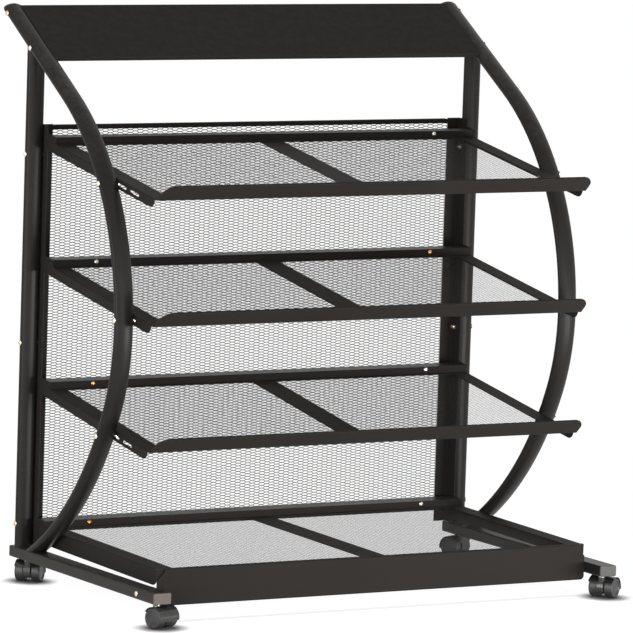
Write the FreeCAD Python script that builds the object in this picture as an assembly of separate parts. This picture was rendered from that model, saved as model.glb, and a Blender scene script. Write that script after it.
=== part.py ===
import FreeCAD, Part
import math
import os

# Periodical display rack on twin-wheel casters: two bowed side frames of oval tube,
# three sloping mesh shelves with turned-up lips, a bottom tray behind a deep apron,
# a tilted header panel and a mesh back.
# X is to the right, Y to the back, Z up. Sizes are in millimetres.

V = FreeCAD.Vector
X_AXIS = V(1, 0, 0)
Z_AXIS = V(0, 0, 1)

# ---- side frames ----
FRAME_X = 454.0            # centre plane of each side frame
TUBE_WIDTH = 36.0          # bow tube across the rack
TUBE_DEPTH = 20.0          # bow and post tube in the plane of the frame
TUBE_END_RADIUS = 6.5      # radius of the oval tube's narrow sides
TUBE_WALL = 1.5
POST_WIDTH = 34.0
POST_Y = 170.0
BOW_APEX_Y = -188.0        # centre line of the bow at its foremost point
BOW_APEX_Z = 499.0
BOW_UPPER_RADIUS = 445.0
BOW_UPPER_TURN = 59.3      # degrees
BOW_KNEE_RADIUS = 355.0
BOW_KNEE_TURN = 25.0       # degrees
BOW_FOOT_RADIUS = 620.0
BOW_STRAIGHT = 274.0       # straight top run that carries the header

# ---- base rails ----
RAIL_WIDTH = 34.0
RAIL_HEIGHT = 20.0
RAIL_WALL = 1.5
RAIL_ROUND = 3.0
RAIL_FRONT_Y = -357.0
RAIL_REAR_Y = 190.0
RAIL_BOTTOM_Z = 42.0

# ---- sheet metal ----
SHEET = 1.2
BEND = 2.0                 # bend radius at the middle of the sheet

# ---- mesh sheets ----
MESH_THICKNESS = 1.0
MESH_LAP = 5.0             # mesh under the strips
MESH_RIM = 7.0             # plain edge round the openings
MESH_STRAND = 9.0
CELLS_ACROSS = 8
DECK_CELLS_DEEP = 7
BACK_CELLS_HIGH = 14

# ---- shelves ----
SHELF_NAMES = ["lower", "middle", "top"]
SHELF_FOLD_Y = -263.7      # fold between deck and lip
SHELF_FOLD_Z = 291.8       # the same fold on the lowest of the three shelves
SHELF_PITCH = 219.0
SHELF_SLOPE = 8.9          # degrees, rising to the back
SHELF_REAR_Y = 122.6
LIP_LENGTH = 42.9
LIP_ANGLE = 50.1           # degrees between the deck and the lip
LIP_HEM = 4.0
LIP_CORNER = 28.0
FRONT_STRIP = 10.0
REAR_STRIP = 9.0
SIDE_STRIP = 33.0
SIDE_WEB = 17.5
SHELF_WEB_SETBACK = 9.0    # front end of the web behind the fold
WEB_CORNER = 15.0
SLOT_LENGTH = 34.0
SLOT_HEIGHT = 5.0
SLOT_SPACING = 46.5
SLOT_FROM_FOLD = 83.0      # centre of the first slot
SLOT_ABOVE_EDGE = 8.0      # slot centre above the lower edge of the web
STRAP_WIDTH = 48.0
UPSTAND = 12.5             # rear flange above the deck
TAIL_GAP = 0.2             # rear end of the web in front of the stile

# ---- bottom tray ----
TRAY_FOLD_Y = -305.0
TRAY_FOLD_Z = 93.5
TRAY_SLOPE = 1.0
TRAY_WEB = 29.5
TRAY_WEB_SETBACK = 2.5
APRON_DROP = 64.0
APRON_HEM = 10.0
APRON_TAB = 22.0
APRON_GAP = 0.2            # apron end to rail, each side
APRON_TOP_CORNER = 16.0    # width of the sloped-off upper corner
APRON_CORNER_SHALLOW = 4.0
APRON_CORNER_DEEP = 22.0
APRON_LOW_CORNER = 8.0
STIFFENER_SETBACK = 3.3    # bar under the front strip, behind the apron's face
STIFFENER_DROP = 24.0

# ---- header ----
HEADER_START = 110.5       # along the straight run of the bow
HEADER_WIDTH = 162.5
HEADER_LAP = 7.0           # plate over the tube
HEADER_HEM = 8.5
HEADER_LIFT = 0.2          # plate clear of the tube it laps over
BRACKET_SHEET = 1.5
BRACKET_LEG = 20.0
BRACKET_DROP = 14.0
BRACKET_MARGIN = 14.0      # bracket past its lower screw
HEADER_SCREW_ALONG = [40.5, 148.5]   # from the lower edge of the header

# ---- back panel ----
STILE_SHEET = 1.6
STILE_DEPTH = 32.0
STILE_LEG = 25.5
STILE_REAR_Y = 182.0
STILE_BOTTOM_Z = 64.0
STILE_TOP_Z = 821.0
BACK_BOTTOM_Z = 84.0
BACK_TOP_Z = 819.0
BACK_RAIL_FACE = 8.0
BACK_RAIL_LEG = 12.0
PANEL_SCREW_Z = [104.0, 431.0, 769.0]

# ---- rear cross bars ----
BAR_DEPTH = 41.0
BAR_HEIGHT = 13.0
BAR_WALL = 1.5

# ---- screws ----
SCREW_R = 3.0
SCREW_CLEARANCE = 0.2
SCREW_LENGTH = 44.0
SCREW_HEAD_R = 4.8
SCREW_HEAD_H = 2.8
HEX_R = 2.0
NUT_FLATS = 10.0
NUT_HEIGHT = 5.0
FLANGE_SCREW_R = 2.5
FLANGE_SCREW_LENGTH = 10.0
FLANGE_HEAD_R = 4.2
FLANGE_HEAD_H = 2.4
FLANGE_SCREW_X = 347.0
RAIL_SCREW_SETBACK = 10.0  # behind the apron face
DRIVER_DEPTH = 1.4

# ---- end plugs ----
PLUG_HEAD = 2.5
PLUG_INSERT = 14.0
PLUG_FIT = 0.15
BOW_PLUG_HEAD = 5.0
BOW_PLUG_INSERT = 9.0      # stays short of the header's upper screw

# ---- casters ----
FRONT_STEM_INSET = 19.0
REAR_STEM_INSET = 40.0
WHEEL_R = 18.5
WHEEL_FACE = 23.7          # outer face of a wheel from the middle of the caster
WHEEL_ROUND = 3.0
DISH_R = 13.5
DISH_DEPTH = 1.6
DISC_CROWN = 0.9           # the disc's middle above its edge
AXLE_R = 3.0
AXLE_REACH = 11.0          # axle inside each wheel
RUNNING_FIT = 0.05
SIDE_PLAY = 0.3
CORE_HALF = 6.2            # half thickness of the hood between the wheels
HOOD_HALF = 24.0
FENDER_GAP = 0.8
FENDER_WALL = 1.0
FENDER_FROM = -12.0        # degrees, behind the wheel
FENDER_TO = 150.0
SWIVEL_OFFSET = 12.0
STEM_R = 5.0
PIN_R = 3.5
PIN_DEPTH = 15.0
COLLAR_R = 6.5
COLLAR_HEIGHT = 3.4
STEM_RISE = 16.0
CASTER_ANGLES = {"front_left": -70.0, "front_right": 32.0, "rear_left": 45.0, "rear_right": 114.0}

# ---- derived places ----
RAIL_TOP_Z = RAIL_BOTTOM_Z + RAIL_HEIGHT
TUBE_INNER_X = FRAME_X - TUBE_WIDTH / 2
TUBE_OUTER_X = FRAME_X + TUBE_WIDTH / 2
POST_INNER_X = FRAME_X - POST_WIDTH / 2
POST_OUTER_X = FRAME_X + POST_WIDTH / 2
RAIL_INNER_X = FRAME_X - RAIL_WIDTH / 2
RAIL_OUTER_X = FRAME_X + RAIL_WIDTH / 2
HEADER_TILT = 90.0 - BOW_UPPER_TURN
STRAIGHT_Y = BOW_APEX_Y + BOW_UPPER_RADIUS * (1 - math.cos(math.radians(BOW_UPPER_TURN)))
STRAIGHT_Z = BOW_APEX_Z + BOW_UPPER_RADIUS * math.sin(math.radians(BOW_UPPER_TURN))
APRON_END_X = RAIL_INNER_X - APRON_GAP
STILE_WEB_X = POST_INNER_X - STILE_SHEET
SIDES = {"left": -1, "right": 1}


# ---- small helpers ----
def box(x0, x1, y0, y1, z0, z1):
    return Part.makeBox(x1 - x0, y1 - y0, z1 - z0, V(x0, y0, z0))


def fuse_all(shapes):
    joined = shapes[0]
    for shape in shapes[1:]:
        joined = joined.fuse(shape)
    return joined.removeSplitter()


def largest_solid(shape):
    return max(shape.Solids, key=lambda solid: solid.Volume)


def turned(shape, centre, axis, degrees):
    copy = shape.copy()
    copy.rotate(centre, axis, degrees)
    return copy


def moved(shape, x, y, z):
    copy = shape.copy()
    copy.translate(V(x, y, z))
    return copy


def mirrored(shape):
    return shape.mirror(V(0, 0, 0), X_AXIS)


def on_slope(shape, degrees, y, z):
    """Put a shape drawn flat, Y along its depth, on a slope that rises to the back."""
    return moved(turned(shape, V(0, 0, 0), X_AXIS, degrees), 0, y, z)


def rounded_wire(width, depth, radius):
    """Rounded rectangle about the origin in the XY plane."""
    half_w = width / 2
    half_d = depth / 2
    arc = radius * (1 - math.sqrt(0.5))
    corners = [(1, -1), (1, 1), (-1, 1), (-1, -1)]
    edges = []
    last = V(-half_w + radius, -half_d, 0)
    for index, (sx, sy) in enumerate(corners):
        along_x = V(sx * (half_w - radius), sy * half_d, 0)
        along_y = V(sx * half_w, sy * (half_d - radius), 0)
        middle = V(sx * (half_w - arc), sy * (half_d - arc), 0)
        if index % 2 == 0:
            first, second = along_x, along_y
        else:
            first, second = along_y, along_x
        edges.append(Part.LineSegment(last, first).toShape())
        edges.append(Part.Arc(first, middle, second).toShape())
        last = second
    return Part.Wire(edges)


def rounded_tube(width, depth, radius, wall):
    outer = Part.Face(rounded_wire(width, depth, radius))
    inner = Part.Face(rounded_wire(width - 2 * wall, depth - 2 * wall, radius - wall))
    return outer.cut(inner)


def flank_radius(width, depth, end_radius):
    """Radius of an oval's long sides, tangent to its narrow ends."""
    run = width / 2 - end_radius
    return (run ** 2 + (depth / 2) ** 2 - end_radius ** 2) / (depth - 2 * end_radius)


def oval_wire(width, depth, end_radius):
    """Oval of four tangent arcs about the origin in the XY plane."""
    flank = flank_radius(width, depth, end_radius)
    run = width / 2 - end_radius
    drop = flank - depth / 2
    reach = math.hypot(run, drop)
    join_x = run + end_radius * run / reach
    join_y = end_radius * drop / reach
    joins = [V(join_x, -join_y, 0), V(join_x, join_y, 0), V(-join_x, join_y, 0), V(-join_x, -join_y, 0)]
    middles = [V(width / 2, 0, 0), V(0, depth / 2, 0), V(-width / 2, 0, 0), V(0, -depth / 2, 0)]
    edges = []
    for index in range(4):
        edges.append(Part.Arc(joins[index], middles[index], joins[(index + 1) % 4]).toShape())
    return Part.Wire(edges)


def oval_tube(width, depth, end_radius, wall):
    outer = Part.Face(oval_wire(width, depth, end_radius))
    inner = Part.Face(oval_wire(width - 2 * wall, depth - 2 * wall, end_radius - wall))
    return outer.cut(inner)


def oval_rise(width, depth, end_radius, aside):
    """Height of an oval's long side at a distance from its middle."""
    flank = flank_radius(width, depth, end_radius)
    return math.sqrt(flank ** 2 - aside ** 2) - flank + depth / 2


def offset_chain(points, shift, bend):
    """Edges of a line of points moved sideways, with an arc at each bend."""
    units = []
    for a, b in zip(points, points[1:]):
        length = math.hypot(b[0] - a[0], b[1] - a[1])
        units.append(((b[0] - a[0]) / length, (b[1] - a[1]) / length))
    start = (points[0][0] - units[0][1] * shift, points[0][1] + units[0][0] * shift)
    chain = []
    last = start
    for index in range(1, len(points) - 1):
        u0 = units[index - 1]
        u1 = units[index]
        cross = u0[0] * u1[1] - u0[1] * u1[0]
        turn = math.atan2(cross, u0[0] * u1[0] + u0[1] * u1[1])
        side = 1 if turn > 0 else -1
        radius = bend - side * shift
        bisector = (-u0[1] - u1[1], u0[0] + u1[0])
        scale = 1 / (1 + u0[0] * u1[0] + u0[1] * u1[1])
        corner = (points[index][0] + bisector[0] * scale * shift,
                  points[index][1] + bisector[1] * scale * shift)
        run = radius * math.tan(abs(turn) / 2)
        first = (corner[0] - u0[0] * run, corner[1] - u0[1] * run)
        second = (corner[0] + u1[0] * run, corner[1] + u1[1] * run)
        centre = (first[0] - side * u0[1] * radius, first[1] + side * u0[0] * radius)
        out = (corner[0] - centre[0], corner[1] - centre[1])
        reach = math.hypot(out[0], out[1])
        middle = (centre[0] + out[0] / reach * radius, centre[1] + out[1] / reach * radius)
        chain.append(("line", last, first))
        chain.append(("arc", first, middle, second))
        last = second
    end = (points[-1][0] - units[-1][1] * shift, points[-1][1] + units[-1][0] * shift)
    chain.append(("line", last, end))
    return chain, start, end


def sheet_face(points, thickness, bend, to_space):
    """Section of folded sheet whose middle line runs through the points."""
    left, left_start, left_end = offset_chain(points, thickness / 2, bend)
    right, right_start, right_end = offset_chain(points, -thickness / 2, bend)
    parts = left + [("line", left_end, right_end)]
    parts = parts + right + [("line", right_start, left_start)]
    edges = []
    for part in parts:
        spots = [to_space(*spot) for spot in part[1:]]
        if part[0] == "line":
            edges.append(Part.LineSegment(*spots).toShape())
        else:
            edges.append(Part.Arc(*spots).toShape())
    return Part.Face(Part.Wire(Part.__sortEdges__(edges)))


def cross_sheet(points, x0, x1, thickness=SHEET, bend=BEND):
    """Folded sheet drawn in (Y, Z) and run from one X to the other."""
    face = sheet_face(points, thickness, bend, lambda a, b: V(x0, a, b))
    return face.extrude(V(x1 - x0, 0, 0))


def deep_sheet(points, y0, y1, thickness=SHEET, bend=BEND):
    """Folded sheet drawn in (X, Z) and run from one Y to the other."""
    face = sheet_face(points, thickness, bend, lambda a, b: V(a, y0, b))
    return face.extrude(V(0, y1 - y0, 0))


def corner_cutter(radius, depth):
    """What rounding takes off a corner at the origin of a plate that lies at -X, -Y."""
    over = 1.0
    block = box(-radius, over, -radius, over, -depth, depth)
    round_part = Part.makeCylinder(radius, 2 * depth, V(-radius, -radius, -depth))
    return block.cut(round_part)


def slot_cutter(length, height, depth):
    """Round-ended slot about the origin, long along Y, through along X."""
    radius = height / 2
    half = length / 2 - radius
    body = box(-depth, depth, -half, half, -radius, radius)
    ends = [Part.makeCylinder(radius, 2 * depth, V(-depth, y, 0), X_AXIS) for y in (-half, half)]
    return fuse_all([body] + ends)


def cross_hole(y, z, radius):
    """Bar along X for drilling both side frames at once."""
    reach = TUBE_OUTER_X + 10
    return Part.makeCylinder(radius, 2 * reach, V(-reach, y, z), X_AXIS)


# ---- screw places ----
def bow_point(z):
    """Centre-line Y of the bow at a height between its foot and the straight run."""
    rise = z - BOW_APEX_Z
    if rise >= 0:
        return BOW_APEX_Y + BOW_UPPER_RADIUS - math.sqrt(BOW_UPPER_RADIUS ** 2 - rise ** 2)
    knee = math.radians(BOW_KNEE_TURN)
    knee_drop = BOW_KNEE_RADIUS * math.sin(knee)
    if -rise <= knee_drop:
        return BOW_APEX_Y + BOW_KNEE_RADIUS - math.sqrt(BOW_KNEE_RADIUS ** 2 - rise ** 2)
    centre_y = BOW_APEX_Y + BOW_KNEE_RADIUS + (BOW_FOOT_RADIUS - BOW_KNEE_RADIUS) * math.cos(knee)
    centre_z = BOW_APEX_Z + (BOW_FOOT_RADIUS - BOW_KNEE_RADIUS) * math.sin(knee)
    return centre_y - math.sqrt(BOW_FOOT_RADIUS ** 2 - (centre_z - z) ** 2)


def straight_point(along, lift):
    """Place on the straight run: distance along it and height square to it."""
    tilt = math.radians(HEADER_TILT)
    y = STRAIGHT_Y + along * math.cos(tilt) - lift * math.sin(tilt)
    z = STRAIGHT_Z + along * math.sin(tilt) + lift * math.cos(tilt)
    return y, z


def shelf_fold_z(level):
    return SHELF_FOLD_Z + level * SHELF_PITCH


def deck_depth(fold_y, slope):
    return (SHELF_REAR_Y - fold_y) / math.cos(math.radians(slope))


def shelf_bolt_place(level):
    """Where the bow's centre line passes the middle of the shelf's side web."""
    slope = math.radians(SHELF_SLOPE)
    z = shelf_fold_z(level)
    for _ in range(8):
        y = bow_point(z)
        z = shelf_fold_z(level) + (y - SHELF_FOLD_Y) * math.tan(slope) - SIDE_WEB / 2
    return bow_point(z), z


def header_screw_places():
    return [straight_point(HEADER_START + along, 0) for along in HEADER_SCREW_ALONG]


def rail_screw_place():
    return TRAY_FOLD_Y + RAIL_SCREW_SETBACK, RAIL_BOTTOM_Z + RAIL_HEIGHT / 2


def bow_screw_places():
    return [shelf_bolt_place(level) for level in range(len(SHELF_NAMES))] + header_screw_places()


# ---- side frames ----
def bow_body(face):
    """Sweep a section along the bow: foot, knee, upper arc and straight run."""
    apex = moved(face, FRAME_X, BOW_APEX_Y, BOW_APEX_Z)
    knee_centre = V(FRAME_X, BOW_APEX_Y + BOW_KNEE_RADIUS, BOW_APEX_Z)
    knee = math.radians(BOW_KNEE_TURN)
    knee_end = turned(apex, knee_centre, X_AXIS, BOW_KNEE_TURN)
    shift = BOW_FOOT_RADIUS - BOW_KNEE_RADIUS
    foot_centre = knee_centre + V(0, shift * math.cos(knee), shift * math.sin(knee))
    over = RAIL_HEIGHT
    foot_angle = math.degrees(math.asin((foot_centre.z - RAIL_TOP_Z + over) / BOW_FOOT_RADIUS))
    upper_centre = V(FRAME_X, BOW_APEX_Y + BOW_UPPER_RADIUS, BOW_APEX_Z)
    upper_end = turned(apex, upper_centre, X_AXIS, -BOW_UPPER_TURN)
    tilt = math.radians(HEADER_TILT)
    run = V(0, BOW_STRAIGHT * math.cos(tilt), BOW_STRAIGHT * math.sin(tilt))
    parts = [
        knee_end.revolve(foot_centre, X_AXIS, foot_angle - BOW_KNEE_TURN),
        apex.revolve(knee_centre, X_AXIS, BOW_KNEE_TURN),
        apex.revolve(upper_centre, X_AXIS, -BOW_UPPER_TURN),
        upper_end.extrude(run),
    ]
    body = fuse_all(parts)
    reach = 2 * BOW_FOOT_RADIUS
    under = box(0, 2 * FRAME_X, -reach, reach, -reach, RAIL_TOP_Z)
    return largest_solid(body.cut(under))


def right_bow():
    bow = bow_body(oval_tube(TUBE_WIDTH, TUBE_DEPTH, TUBE_END_RADIUS, TUBE_WALL))
    for y, z in bow_screw_places():
        bow = bow.cut(cross_hole(y, z, SCREW_R + SCREW_CLEARANCE))
    return bow


def right_post():
    """Upright from the rail to the underside of the bow, coped to it."""
    face = oval_tube(POST_WIDTH, TUBE_DEPTH, TUBE_END_RADIUS, TUBE_WALL)
    along = (POST_Y - STRAIGHT_Y) / math.cos(math.radians(HEADER_TILT))
    top = straight_point(along, 0)[1] + TUBE_DEPTH / 2
    post = moved(face, FRAME_X, POST_Y, RAIL_TOP_Z).extrude(V(0, 0, top - RAIL_TOP_Z))
    solid_bow = bow_body(Part.Face(oval_wire(TUBE_WIDTH, TUBE_DEPTH, TUBE_END_RADIUS)))
    post = largest_solid(post.cut(solid_bow))
    for z in PANEL_SCREW_Z:
        post = post.cut(cross_hole(POST_Y, z, SCREW_R + SCREW_CLEARANCE))
    return post


def right_rail():
    face = rounded_tube(RAIL_WIDTH, RAIL_HEIGHT, RAIL_ROUND, RAIL_WALL)
    upright = turned(face, V(0, 0, 0), X_AXIS, 90)
    length = RAIL_REAR_Y - RAIL_FRONT_Y
    middle_z = RAIL_BOTTOM_Z + RAIL_HEIGHT / 2
    rail = moved(upright, FRAME_X, RAIL_FRONT_Y, middle_z).extrude(V(0, length, 0))
    y, z = rail_screw_place()
    rail = rail.cut(cross_hole(y, z, SCREW_R + SCREW_CLEARANCE))
    for stem_y in stem_places_y():
        hole = Part.makeCylinder(STEM_R + SCREW_CLEARANCE, RAIL_HEIGHT / 2,
                                 V(FRAME_X, stem_y, RAIL_BOTTOM_Z - RAIL_WALL))
        rail = rail.cut(hole)
    return rail


def rail_plug(y, outward):
    """Push-in end plug: a rounded head on the tube's end and a hollow insert inside."""
    middle_z = RAIL_BOTTOM_Z + RAIL_HEIGHT / 2
    head_wire = turned(rounded_wire(RAIL_WIDTH, RAIL_HEIGHT, RAIL_ROUND), V(0, 0, 0), X_AXIS, 90)
    head = Part.Face(head_wire).extrude(V(0, outward * PLUG_HEAD, 0))
    outer_edges = []
    for edge in head.Edges:
        if abs(edge.BoundBox.YMin - outward * PLUG_HEAD) < 0.01:
            if abs(edge.BoundBox.YMax - outward * PLUG_HEAD) < 0.01:
                outer_edges.append(edge)
    head = head.makeFillet(PLUG_HEAD * 0.6, outer_edges)
    bore = 2 * (RAIL_WALL + PLUG_FIT)
    insert_wire = rounded_wire(RAIL_WIDTH - bore, RAIL_HEIGHT - bore, RAIL_ROUND - RAIL_WALL)
    insert = Part.Face(turned(insert_wire, V(0, 0, 0), X_AXIS, 90))
    insert = insert.extrude(V(0, -outward * PLUG_INSERT, 0))
    hollow = 2 * (2 * RAIL_WALL + PLUG_FIT)
    core_wire = rounded_wire(RAIL_WIDTH - hollow, RAIL_HEIGHT - hollow, RAIL_ROUND / 3)
    core = Part.Face(turned(core_wire, V(0, 0, 0), X_AXIS, 90))
    core = core.extrude(V(0, -outward * (PLUG_INSERT + 1), 0))
    plug = fuse_all([head, insert.cut(core)])
    return moved(plug, FRAME_X, y, middle_z)


def right_bow_plug():
    """Domed plug in the top end of the bow."""
    head = Part.Face(oval_wire(TUBE_WIDTH, TUBE_DEPTH, TUBE_END_RADIUS)).extrude(V(0, 0, BOW_PLUG_HEAD))
    top_edges = [edge for edge in head.Edges if edge.BoundBox.ZMin > BOW_PLUG_HEAD - 0.01]
    head = head.makeFillet(BOW_PLUG_HEAD * 0.8, top_edges)
    bore = 2 * (TUBE_WALL + PLUG_FIT)
    insert_wire = oval_wire(TUBE_WIDTH - bore, TUBE_DEPTH - bore, TUBE_END_RADIUS - bore / 2)
    insert = Part.Face(insert_wire).extrude(V(0, 0, -BOW_PLUG_INSERT))
    plug = fuse_all([head, insert])
    plug = turned(plug, V(0, 0, 0), X_AXIS, -BOW_UPPER_TURN)
    y, z = straight_point(BOW_STRAIGHT, 0)
    return moved(plug, FRAME_X, y, z)


# ---- shelves ----
def deck_side(depth, web, setback, has_slots):
    """Right side of a deck drawn flat: a strip, a web folded down and a tail behind the flange."""
    middle = -SHEET / 2
    points = [(TUBE_INNER_X - SIDE_STRIP, middle)]
    points.append((TUBE_INNER_X - SHEET / 2, middle))
    points.append((TUBE_INNER_X - SHEET / 2, -web))
    side = deep_sheet(points, setback, depth - REAR_STRIP)
    inner = TUBE_INNER_X - SIDE_STRIP - 1
    side = side.cut(box(inner, TUBE_INNER_X + 1, -1, FRONT_STRIP, -SHEET, 1))
    side = side.cut(box(inner, TUBE_INNER_X - SHEET, -1, FRONT_STRIP, -BEND - SHEET, 1))
    web_inner_x = TUBE_INNER_X - SHEET
    tail_end = depth + 2 * STILE_DEPTH
    tail = box(web_inner_x, TUBE_INNER_X, depth - REAR_STRIP, tail_end, -web, 0)
    ear = box(web_inner_x, TUBE_INNER_X, depth, tail_end, 0, UPSTAND)
    side = fuse_all([side, tail, ear])
    cutter = turned(corner_cutter(WEB_CORNER, 10), V(0, 0, 0), V(0, 1, 0), 90)
    cutter = turned(cutter, V(0, 0, 0), X_AXIS, -90)
    side = side.cut(moved(cutter, TUBE_INNER_X, setback, -web))
    if has_slots:
        for index in range(2):
            slot = slot_cutter(SLOT_LENGTH, SLOT_HEIGHT, 3)
            along = SLOT_FROM_FOLD + index * SLOT_SPACING
            side = side.cut(moved(slot, TUBE_INNER_X, along, SLOT_ABOVE_EDGE - web))
    return largest_solid(side)


def end_at_stile(side):
    """Trim the tail of a deck's side square, just in front of the stile."""
    limit = STILE_REAR_Y - STILE_DEPTH - TAIL_GAP
    return side.cut(box(0, FRAME_X, limit, limit + 4 * STILE_DEPTH, 0, 2 * STILE_TOP_Z))


def shelf_lip():
    """Front strip of the deck with the lip turned up along it, drawn flat."""
    turn = math.radians(LIP_ANGLE)
    middle = -SHEET / 2
    crest = (-LIP_LENGTH * math.cos(turn), middle + LIP_LENGTH * math.sin(turn))
    hem = (crest[0] - LIP_HEM * math.sin(turn), crest[1] - LIP_HEM * math.cos(turn))
    points = [(FRONT_STRIP, middle), (0, middle), crest, hem]
    lip = cross_sheet(points, -TUBE_INNER_X, TUBE_INNER_X, SHEET, SHEET)
    for side in SIDES.values():
        cutter = corner_cutter(LIP_CORNER, 12)
        if side < 0:
            cutter = mirrored(cutter)
        cutter = turned(cutter, V(0, 0, 0), X_AXIS, 180 - LIP_ANGLE)
        lip = lip.cut(moved(cutter, side * TUBE_INNER_X, crest[0], crest[1]))
    return largest_solid(lip)


def rear_flange(depth, slope):
    """Rear strip of a deck with its upright flange, drawn flat."""
    lean = math.radians(slope)
    middle = -SHEET / 2
    rise = UPSTAND + SHEET / 2
    top = (depth - SHEET / 2 + rise * math.sin(lean), middle + rise * math.cos(lean))
    points = [(depth - REAR_STRIP, middle), (depth - SHEET / 2, middle), top]
    half = TUBE_INNER_X - SHEET
    return cross_sheet(points, -half, half)


def deck_strap(depth):
    half = STRAP_WIDTH / 2
    return box(-half, half, FRONT_STRIP, depth - REAR_STRIP, -SHEET, 0)


def diamond_wires(x0, x1, y0, y1, across, along):
    """Outlines of staggered diamond openings that fill a rectangle, halved at its edges."""
    half_x = (x1 - x0) / across / 2
    half_y = (y1 - y0) / along / 2
    share = 1 - MESH_STRAND * math.hypot(half_x, half_y) / (2 * half_x * half_y)
    wires = []
    for column in range(2 * across + 1):
        for row in range(2 * along + 1):
            if (column + row) % 2 == 0:
                continue
            corners = []
            for dx, dy in ((1, 0), (0, 1), (-1, 0), (0, -1)):
                x = x0 + (column + dx * share) * half_x
                y = y0 + (row + dy * share) * half_y
                if x0 - 0.01 < x < x1 + 0.01 and y0 - 0.01 < y < y1 + 0.01:
                    corners.append(V(x, y, 0))
            wires.append(Part.makePolygon(corners + corners[:1]))
    return wires


def opened_sheet(x0, x1, y0, y1, cells_along):
    """Flat sheet with a field of diamond openings inside a plain rim, its underside at Z 0."""
    outline = Part.makePolygon([V(x0, y0, 0), V(x1, y0, 0), V(x1, y1, 0), V(x0, y1, 0), V(x0, y0, 0)])
    holes = diamond_wires(x0 + MESH_RIM, x1 - MESH_RIM, y0 + MESH_RIM, y1 - MESH_RIM,
                          CELLS_ACROSS, cells_along)
    face = Part.makeFace([outline] + holes, "Part::FaceMakerBullseye")
    return face.extrude(V(0, 0, MESH_THICKNESS))


def deck_mesh(depth):
    half = TUBE_INNER_X - SIDE_STRIP + MESH_LAP
    front = FRONT_STRIP - MESH_LAP
    rear = depth - REAR_STRIP + MESH_LAP
    sheet = opened_sheet(-half, half, front, rear, DECK_CELLS_DEEP)
    return moved(sheet, 0, 0, -SHEET - MESH_THICKNESS)


def apron_corner_slab(side):
    """Block that slopes off an upper corner of the apron."""
    outer = side * (APRON_END_X + 1)
    inner = side * (APRON_END_X - APRON_TOP_CORNER)
    high = TRAY_FOLD_Z + 3
    outline = [V(outer, 0, high), V(inner, 0, high), V(inner, 0, TRAY_FOLD_Z - APRON_CORNER_SHALLOW),
               V(outer, 0, TRAY_FOLD_Z - APRON_CORNER_DEEP), V(outer, 0, high)]
    slab = Part.Face(Part.makePolygon(outline)).extrude(V(0, BEND + 2 * SHEET, 0))
    return moved(slab, 0, TRAY_FOLD_Y - SHEET, 0)


def apron_tab(side):
    """Tab behind an end of the apron, flat on the rail's inner face."""
    inner = side * (APRON_END_X - SHEET)
    outer = side * APRON_END_X
    return box(min(inner, outer), max(inner, outer), TRAY_FOLD_Y + SHEET / 2,
               TRAY_FOLD_Y + APRON_TAB, RAIL_BOTTOM_Z + 1, RAIL_TOP_Z - 1)


def apron_stiffener():
    """Bar on edge under the front strip, between the tray's webs."""
    half = TUBE_INNER_X - SHEET
    front = TRAY_FOLD_Y + STIFFENER_SETBACK
    return box(-half, half, front, front + SHEET, TRAY_FOLD_Z - STIFFENER_DROP, TRAY_FOLD_Z - SHEET / 2)


def tray_apron():
    """Front strip of the tray with its deep apron, bottom hem, stiffener and end tabs."""
    lean = math.radians(TRAY_SLOPE)
    low = (SHEET / 2 - APRON_DROP * math.sin(lean), -APRON_DROP * math.cos(lean))
    points = [(FRONT_STRIP, -SHEET / 2), (SHEET / 2, -SHEET / 2), low]
    points.append((low[0] + APRON_HEM * math.cos(lean), low[1] - APRON_HEM * math.sin(lean)))
    apron = cross_sheet(points, -APRON_END_X, APRON_END_X)
    apron = on_slope(apron, TRAY_SLOPE, TRAY_FOLD_Y, TRAY_FOLD_Z)
    bottom = TRAY_FOLD_Z - APRON_DROP - SHEET / 2
    extras = [apron_stiffener()]
    for side in SIDES.values():
        low_cut = turned(corner_cutter(APRON_LOW_CORNER, APRON_HEM * 2), V(0, 0, 0), X_AXIS, -90)
        if side < 0:
            low_cut = mirrored(low_cut)
        apron = apron.cut(moved(low_cut, side * APRON_END_X, TRAY_FOLD_Y, bottom))
        apron = apron.cut(apron_corner_slab(side))
        extras.append(apron_tab(side))
    apron = largest_solid(fuse_all([apron] + extras))
    y, z = rail_screw_place()
    return apron.cut(cross_hole(y, z, SCREW_R + SCREW_CLEARANCE))


def drill_flange(flange, fold_y, fold_z, slope, depth):
    """Holes for the two screws that hold a rear flange to its bar."""
    y, z = flange_screw_place(fold_y, fold_z, slope, depth)
    for side in SIDES.values():
        hole = Part.makeCylinder(FLANGE_SCREW_R + SCREW_CLEARANCE, 8,
                                 V(side * FLANGE_SCREW_X, y - 4, z), V(0, 1, 0))
        flange = flange.cut(hole)
    return flange


def flange_screw_place(fold_y, fold_z, slope, depth):
    """Front face of the upright flange, half way up it."""
    lean = math.radians(slope)
    y = fold_y + (depth - SHEET / 2) * math.cos(lean) + SHEET / 2 * math.sin(lean) - SHEET / 2
    z = fold_z + depth * math.sin(lean) + UPSTAND * 0.55
    return y, z


def cross_bar(fold_y, fold_z, slope, depth):
    """Rectangular tube behind a rear flange, welded between the tails of the deck's sides."""
    y, z = flange_screw_place(fold_y, fold_z, slope, depth)
    front = y + SHEET
    top = fold_z + depth * math.sin(math.radians(slope)) + UPSTAND
    half = TUBE_INNER_X - SHEET
    bar = box(-half, half, front, front + BAR_DEPTH, top - BAR_HEIGHT, top)
    hollow = box(-half, half, front + BAR_WALL, front + BAR_DEPTH - BAR_WALL,
                 top - BAR_HEIGHT + BAR_WALL, top - BAR_WALL)
    bar = bar.cut(hollow)
    for side in SIDES.values():
        hole = Part.makeCylinder(FLANGE_SCREW_R + SCREW_CLEARANCE, 8,
                                 V(side * FLANGE_SCREW_X, front - 4, z), V(0, 1, 0))
        bar = bar.cut(hole)
    return bar


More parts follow.
